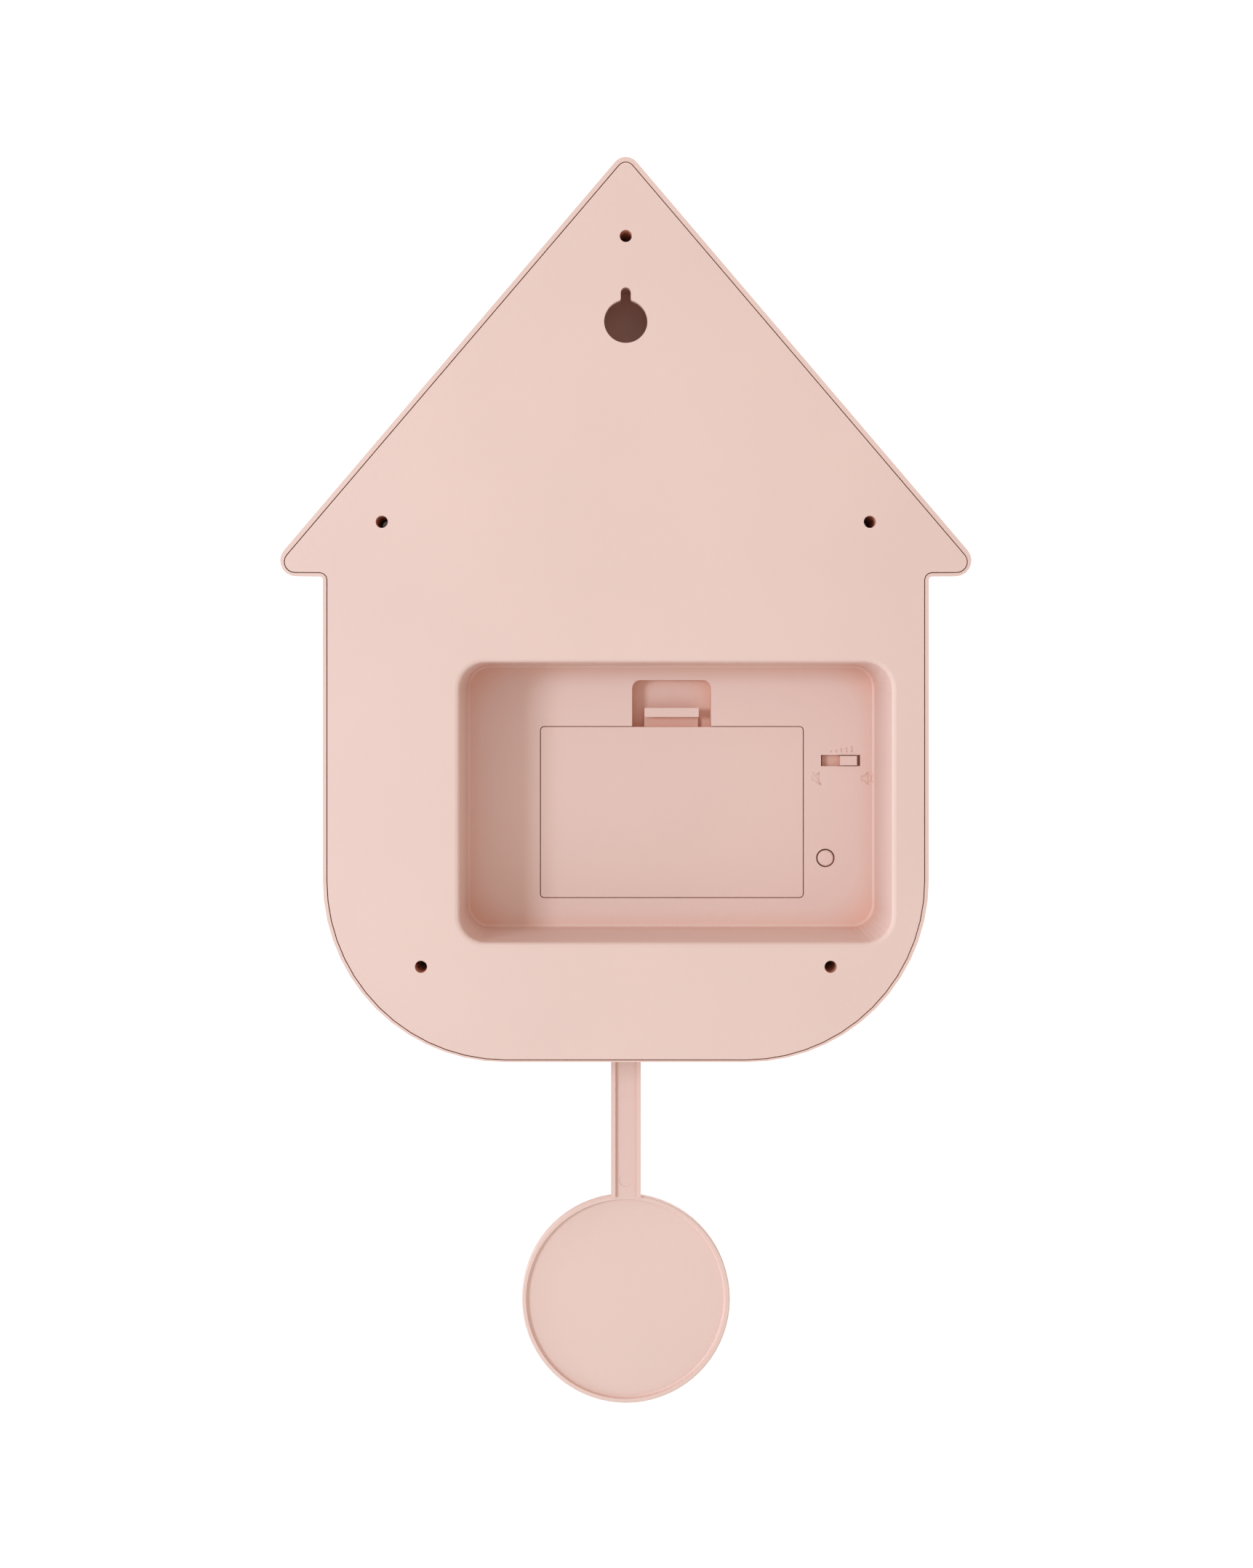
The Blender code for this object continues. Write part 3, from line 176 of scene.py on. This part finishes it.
def metal(name, colour, roughness, lines=None):
    """Plated or drawn metal, with fine lines along one direction where it was drawn or turned."""
    made = Nodes(name, roughness, metallic=1.0)
    streak = made.noise(300.0, 3.0, 0.6, lines)
    made.link(made.ramp(streak, [(0.3, shade(colour, 0.9)), (0.7, shade(colour, 1.05))]),
              made.shader.inputs["Base Color"])
    made.link(made.spread(streak, roughness - 0.06, roughness + 0.08), made.shader.inputs["Roughness"])
    made.link(made.bump(streak, 0.00001), made.shader.inputs["Normal"])
    return made.material


PINK = (0.787, 0.593, 0.5425)
# painted shade: the darker, redder pink laid into hollows and corners in place of shadow and bounced light
PINK_PAINTED_SHADE = (0.80, 0.425, 0.315)
PAINTED_SHADE_REACH = 0.014                          # reach of the painted shade in hollows
DEEP_PINK = (0.700, 0.430, 0.370)

MATERIALS = {
    "case_plastic": moulded_plastic("pink_plastic", PINK, painted_shade_colour=PINK_PAINTED_SHADE),
    "trim_plastic": moulded_plastic("deep_pink_plastic", DEEP_PINK, 0.45),
    "dial_plastic": moulded_plastic("cream_plastic", (0.87, 0.82, 0.74), 0.6),
    "natural_plastic": moulded_plastic("natural_plastic", (0.74, 0.72, 0.66), 0.5),
    "black_plastic": moulded_plastic("black_plastic", (0.02, 0.02, 0.022), 0.45),
    "steel": metal("plated_steel", (0.60, 0.60, 0.61), 0.32, (1.0, 1.0, 8.0)),
    "board": moulded_plastic("green_board", (0.02, 0.16, 0.07), 0.35),
    "copper": metal("copper_winding", (0.72, 0.30, 0.13), 0.35, (1.0, 1.0, 40.0)),
    "cell_label": moulded_plastic("cell_sleeve", (0.10, 0.11, 0.14), 0.3),
    "speaker_paper": moulded_plastic("speaker_paper", (0.03, 0.03, 0.03), 0.9, grain=0.00004),
    "brass": metal("brass", (0.74, 0.56, 0.22), 0.28, (8.0, 1.0, 1.0)),
    "bird_plastic": moulded_plastic("bird_plastic", (0.85, 0.82, 0.77), 0.55),
    "beak_plastic": moulded_plastic("beak_plastic", (0.80, 0.36, 0.08), 0.4),
}
for row in frame["record"]["subparts"]:
    node = frame["nodes"][row["node"]]
    node.data.materials.clear()
    node.data.materials.append(MATERIALS[row["material_slot"]])


# ---- making pieces ------------------------------------------------------------------------------------
WELD = 0.000002


def new_piece(name, mesh, finish, body="case"):
    """A detail piece: its mesh in world coordinates, its finish, and the body that it moves with."""
    mesh.materials.clear()
    mesh.materials.append(MATERIALS[finish])
    piece = bpy.data.objects.new(name, mesh)
    bpy.context.scene.collection.objects.link(piece)
    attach(piece, body)


def solid_of(data, place=Matrix.Identity(4)):
    """A welded mesh of a curve or text, moved to its place."""
    guide = bpy.data.objects.new("guide", data)
    bpy.context.scene.collection.objects.link(guide)
    bpy.context.view_layer.update()
    mesh = bpy.data.meshes.new_from_object(guide.evaluated_get(bpy.context.evaluated_depsgraph_get()))
    bpy.data.objects.remove(guide)
    made = bmesh.new()
    made.from_mesh(mesh)
    bmesh.ops.remove_doubles(made, verts=made.verts, dist=WELD)
    bmesh.ops.transform(made, matrix=place, verts=made.verts)
    bmesh.ops.recalc_face_normals(made, faces=made.faces)
    made.to_mesh(mesh)
    made.free()
    return mesh


def beads(paths, radius):
    """Round raised lines with closed ends through lists of 3-D points; a path may close on itself."""
    curve = bpy.data.curves.new("beads", "CURVE")
    curve.dimensions = "3D"
    curve.bevel_depth = radius
    curve.bevel_resolution = 2
    curve.use_fill_caps = True
    for points, closed in paths:
        spline = curve.splines.new("POLY")
        spline.points.add(len(points) - 1)
        for point, place in zip(spline.points, points):
            point.co = (*place, 1.0)
        spline.use_cyclic_u = closed
    mesh = solid_of(curve)
    mesh.shade_smooth()
    return mesh


def blocks(corner_lists, y):
    """Thin flat-topped blocks from outlines in the XZ plane, between two values of Y."""
    made = bmesh.new()
    for corners in corner_lists:
        near = [made.verts.new((x, y[0], z)) for x, z in corners]
        far = [made.verts.new((x, y[1], z)) for x, z in corners]
        made.faces.new(near)
        made.faces.new(far[::-1])
        for index in range(len(corners)):
            after = (index + 1) % len(corners)
            made.faces.new((near[after], near[index], far[index], far[after]))
    bmesh.ops.recalc_face_normals(made, faces=made.faces)
    mesh = bpy.data.meshes.new("blocks")
    made.to_mesh(mesh)
    made.free()
    return mesh


def turned(profile, place, direction, segments=32):
    """A turned solid: profile (radius, height) from axis to axis, standing on a place along a direction."""
    made = bmesh.new()
    points = [made.verts.new((radius, 0.0, height)) for radius, height in profile]
    for first, second in zip(points, points[1:]):
        made.edges.new((first, second))
    bmesh.ops.spin(made, geom=made.verts[:] + made.edges[:], cent=(0, 0, 0), axis=(0, 0, 1),
                   angle=2 * math.pi, steps=segments, use_merge=True)
    bmesh.ops.remove_doubles(made, verts=made.verts, dist=WELD)
    stand = Matrix.Translation(place) @ Vector(direction).to_track_quat("Z", "Y").to_matrix().to_4x4()
    bmesh.ops.transform(made, matrix=stand, verts=made.verts)
    bmesh.ops.recalc_face_normals(made, faces=made.faces)
    mesh = bpy.data.meshes.new("turned")
    made.to_mesh(mesh)
    made.free()
    mesh.shade_smooth()
    mesh.set_sharp_from_angle(angle=math.radians(40))
    return mesh


def turn(angle, across, up, centre_z=0.0):
    """A point turned clockwise by an angle about the dial's centre, seen from the front."""
    sine, cosine = math.sin(angle), math.cos(angle)
    return (across * cosine + up * sine, centre_z + up * cosine - across * sine)


# ---- raised marks on the tray floor -------------------------------------------------------------------
TRAY_FLOOR_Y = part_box("battery_door")[1][1]
BAR_BEAD = 0.00026                      # radii of the raised lines
SIGN_BEAD = 0.0002
BAR_MIDDLE_X = -0.0694
BAR_PITCH = 0.00165
BAR_FOOT_Z = -0.1409
BAR_SHORTEST = 0.0004
BAR_STEP = 0.00035
SIGN_Z = -0.1493
QUIET_X, LOUD_X = -0.0616, -0.0772
MILLIMETRE = 0.001


def make_volume_marks():
    """Five rising bars above the switch, and a quiet and a loud speaker sign below its two ends."""
    bars = []
    for step in range(5):
        x = BAR_MIDDLE_X + BAR_PITCH * (2 - step)
        top = BAR_FOOT_Z + BAR_SHORTEST + BAR_STEP * step
        bars.append(([(x, TRAY_FLOOR_Y, BAR_FOOT_Z), (x, TRAY_FLOOR_Y, top)], False))
    new_piece("volume_bars", beads(bars, BAR_BEAD), "case_plastic")

    horn = [(-1.5, 0.7), (-0.5, 0.7), (0.7, 1.9), (0.7, -1.9), (-0.5, -0.7), (-1.5, -0.7)]
    slash = [(-1.3, 2.0), (1.4, -2.1)]
    waves = [[(0.2 + reach * math.cos(a), reach * math.sin(a)) for a in (-0.6, -0.3, 0.0, 0.3, 0.6)]
             for reach in (1.5, 2.4)]
    signs = {"quiet_sign": (QUIET_X, [(horn, True), (slash, False)]),
             "loud_sign": (LOUD_X, [(horn, True)] + [(wave, False) for wave in waves])}
    for name, (x, lines) in signs.items():
        paths = [([(x - u * MILLIMETRE, TRAY_FLOOR_Y, SIGN_Z + v * MILLIMETRE) for u, v in line], closed)
                 for line, closed in lines]
        new_piece(name, beads(paths, SIGN_BEAD), "case_plastic")


# ---- dial print ---------------------------------------------------------------------------------------
DIAL_LOW, DIAL_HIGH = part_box("dial_face")
DIAL_Z = (DIAL_LOW[2] + DIAL_HIGH[2]) / 2
MARKER_TOP_Y = DIAL_LOW[1]
DIAL_PLATE_Y = MARKER_TOP_Y + 0.0004
BAR_OUTER = 0.04985
TRACK = (0.0511, 0.0526)                # inner and outer radius of the minute track
NUMERAL_RADIUS = 0.0372
NUMERAL_SIZE = 0.0092
NUMERAL_RAISE = 0.00012


def make_dial_print():
    """Raised hour bars, a fine minute track and plain numerals."""
    bars = []
    for hour in range(12):
        angle = math.pi / 6 * hour
        half = 0.00095 if hour % 3 else 0.00145
        inner = 0.04565 if hour % 3 else 0.04315
        corners = [(-half, inner), (half, inner), (half, BAR_OUTER), (-half, BAR_OUTER)]
        bars.append([turn(angle, across, up, DIAL_Z) for across, up in corners])
    new_piece("hour_bars", blocks(bars, (MARKER_TOP_Y - 0.0001, MARKER_TOP_Y + 0.00005)), "trim_plastic")
    ticks = []
    for minute in range(60):
        angle = math.pi / 30 * minute
        half = 0.00022 if minute % 5 == 0 else 0.00012
        corners = [(-half, TRACK[0]), (half, TRACK[0]), (half, TRACK[1]), (-half, TRACK[1])]
        ticks.append([turn(angle, across, up, DIAL_Z) for across, up in corners])
    new_piece("minute_track", blocks(ticks, (DIAL_PLATE_Y - 0.00006, DIAL_PLATE_Y + 0.0001)),
              "trim_plastic")
    for hour in range(1, 13):
        text = bpy.data.curves.new(f"hour_{hour}", "FONT")
        text.body = str(hour)
        text.size = NUMERAL_SIZE
        text.align_x = "CENTER"
        text.align_y = "CENTER"
        text.extrude = NUMERAL_RAISE
        x, z = turn(math.pi / 6 * hour, 0.0, NUMERAL_RADIUS, DIAL_Z)
        place = Matrix.Translation((x, DIAL_PLATE_Y, z)) @ Matrix.Rotation(math.pi / 2, 4, "X")
        new_piece(f"numeral_{hour}", solid_of(text, place), "trim_plastic")


# ---- front trim and bird ------------------------------------------------------------------------------
FRONT_FACE_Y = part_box("front_case")[0][1]
TRIM_BEAD = 0.0011
TRIM_CORNER = 0.0016
TRIM_SIDE = 0.0029                      # how far the frame line stands outside the doors
TRIM_END = 0.0004
PULL_X = 0.0017
HEAD_CENTRE = Vector((0.0, -0.0665, -0.0085))
HEAD_RADIUS = 0.0050


def make_front_trim():
    """A rounded frame round the bird's opening and a turned pull on each of its doors."""
    low = [min(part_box(f"bird_door_{side}")[0][axis] for side in ("left", "right")) for axis in range(3)]
    high = [max(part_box(f"bird_door_{side}")[1][axis] for side in ("left", "right")) for axis in range(3)]
    left, right = low[0] - TRIM_SIDE, high[0] + TRIM_SIDE
    bottom, top = low[2] - TRIM_END, high[2] + TRIM_END
    corners = [(left, bottom), (right, bottom), (right, top), (left, top)]
    frame_line = []
    for index, (x, z) in enumerate(corners):
        middle_x, middle_z = (1 if x < 0 else -1), (1 if index < 2 else -1)
        start = math.atan2(-middle_z, -middle_x)
        for step in range(5):
            angle = start + (step - 2) * math.pi / 8
            frame_line.append((x + TRIM_CORNER * (middle_x + math.cos(angle)), FRONT_FACE_Y,
                               z + TRIM_CORNER * (middle_z + math.sin(angle))))
    new_piece("bird_window_frame", beads([(frame_line, True)], TRIM_BEAD), "trim_plastic")
    pull = [(0.0, 0.0), (0.0006, 0.0), (0.0006, 0.0007), (0.0011, 0.0010), (0.0012, 0.0014), (0.0008, 0.0019),
            (0.0, 0.0020)]
    for side, sign in (("left", -1), ("right", 1)):
        door_low, door_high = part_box(f"bird_door_{side}")
        place = (sign * PULL_X, door_low[1], (door_low[2] + door_high[2]) / 2)
        new_piece(f"door_pull_{side}", turned(pull, place, (0, -1, 0), 20), "brass", f"bird_door_{side}")


def make_bird_eyes():
    """A domed bead with a fine ring on each side of the bird's head."""
    bead = [(0.0, -0.0004), (0.00085, -0.0004), (0.00095, 0.0001), (0.00075, 0.00012), (0.0006, 0.0003),
            (0.0003, 0.00042), (0.0, 0.00045)]
    for side, sign in (("left", -1), ("right", 1)):
        direction = Vector((sign * 0.80, -0.50, 0.33)).normalized()
        eye = turned(bead, HEAD_CENTRE + direction * HEAD_RADIUS, direction, 20)
        new_piece(f"bird_eye_{side}", eye, "black_plastic", "bird")


# ---- cells and circuit board --------------------------------------------------------------------------
BAND_HEIGHT = 0.0110
BAND_SHOULDER = 0.0030                  # from the positive end of the cell to the band
BAND_LIFT = 0.00006


def make_cell_bands():
    """A copper-coloured sleeve round the positive end of each cell."""
    for number in (1, 2, 3):
        low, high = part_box(f"battery_cell_{number}")
        up = -1 if number == 2 else 1
        shoulder = (high[2] if up > 0 else low[2]) - up * BAND_SHOULDER
        middle = ((low[0] + high[0]) / 2, (low[1] + high[1]) / 2, shoulder)
        radius = (high[0] - low[0]) / 2
        inner, outer = radius - 0.0001, radius + BAND_LIFT
        band = [(inner, 0.0), (outer, 0.0), (outer, BAND_HEIGHT), (inner, BAND_HEIGHT), (inner, 0.0)]
        new_piece(f"cell_band_{number}", turned(band, middle, (0, 0, -up), 40), "copper")


def make_board_parts():
    """Small parts and solder dots on the face of the circuit board."""
    low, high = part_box("circuit_board")
    face = high[1]
    parts = []
    for row in range(4):
        for column in range(2):
            x = low[0] + 0.0045 + 0.0042 * column
            z = low[2] + 0.0060 + 0.0036 * row + 0.0010 * column
            parts.append([(x, z), (x + 0.0020, z), (x + 0.0020, z + 0.0011), (x, z + 0.0011)])
    new_piece("board_resistors", blocks(parts, (face + 0.00005, face + 0.0006)), "black_plastic")
    dot = [(0.0, 0.0), (0.0007, 0.0), (0.0005, 0.0003), (0.0, 0.0004)]
    for number in range(6):
        place = (high[0] - 0.0025, face, high[2] - 0.0040 - 0.0040 * number)
        new_piece(f"solder_dot_{number + 1}", turned(dot, place, (0, 1, 0), 14), "steel")


make_volume_marks()
make_dial_print()
make_front_trim()
make_bird_eyes()
make_cell_bands()
make_board_parts()

# ---- studio -------------------------------------------------------------------------------------------
FLOOR_RADIUS = 0.55
FLOOR_PLACE = (0.0, 0.40, -0.46)
BACKDROP_WHITE = 1.1
LOOK_AT = (0.0, 0.0, -0.12)
DAYLIGHT = (0.85, 1.0, 1.12)
KEY = {"place": (0.85, 1.05, 0.0), "size": (0.3, 0.3), "power": 6.9, "colour": DAYLIGHT}
FILL = {"place": (0.2, 1.3, 0.1), "size": (1.2, 1.2), "power": 0.6, "colour": DAYLIGHT}
FAR_KEY = {"place": (-0.55, -1.0, 0.45), "size": (0.7, 0.7), "power": 7.0, "colour": DAYLIGHT}
SIDE = {"place": (1.2, 0.11, -0.15), "size": (0.2, 0.2), "power": 3.2, "colour": DAYLIGHT}
SOFT_COLOUR = (1.15, 1.0, 0.88)
SOFT_STRENGTH = 0.63


def area_light(name, place, size, power, colour):
    data = bpy.data.lights.new(name, "AREA")
    data.shape = "RECTANGLE"
    data.size, data.size_y = size
    data.energy = power
    data.color = colour
    light = bpy.data.objects.new(name, data)
    bpy.context.scene.collection.objects.link(light)
    light.location = place
    light.rotation_euler = (Vector(LOOK_AT) - Vector(place)).to_track_quat("-Z", "Y").to_euler()


def make_studio():
    for name, light in (("key", KEY), ("fill", FILL), ("far_key", FAR_KEY), ("side", SIDE)):
        area_light(name, **light)
    world = bpy.data.worlds.new("studio")
    world.use_nodes = True
    tree = world.node_tree
    soft = tree.nodes["Background"]
    soft.inputs["Color"].default_value = (*SOFT_COLOUR, 1.0)
    soft.inputs["Strength"].default_value = SOFT_STRENGTH
    seen = tree.nodes.new("ShaderNodeBackground")
    seen.inputs["Color"].default_value = (1.0, 1.0, 1.0, 1.0)
    seen.inputs["Strength"].default_value = BACKDROP_WHITE
    path = tree.nodes.new("ShaderNodeLightPath")
    mix = tree.nodes.new("ShaderNodeMixShader")
    tree.links.new(path.outputs["Is Camera Ray"], mix.inputs["Fac"])
    tree.links.new(soft.outputs["Background"], mix.inputs[1])
    tree.links.new(seen.outputs["Background"], mix.inputs[2])
    tree.links.new(mix.outputs["Shader"], tree.nodes["World Output"].inputs["Surface"])
    bpy.context.scene.world = world
    bpy.context.scene.view_settings.view_transform = "Standard"

    made = bmesh.new()
    bmesh.ops.create_circle(made, cap_ends=True, segments=96, radius=FLOOR_RADIUS)
    mesh = bpy.data.meshes.new("floor")
    made.to_mesh(mesh)
    made.free()
    floor = bpy.data.objects.new("floor", mesh)
    bpy.context.scene.collection.objects.link(floor)
    floor.location = FLOOR_PLACE
    pale = Nodes("pale_floor", 0.8)
    pale.link(pale.ramp(pale.noise(6.0), [(0.3, (0.80, 0.79, 0.78)), (0.7, (0.84, 0.83, 0.82))]),
              pale.shader.inputs["Base Color"])
    mesh.materials.append(pale.material)


make_studio()
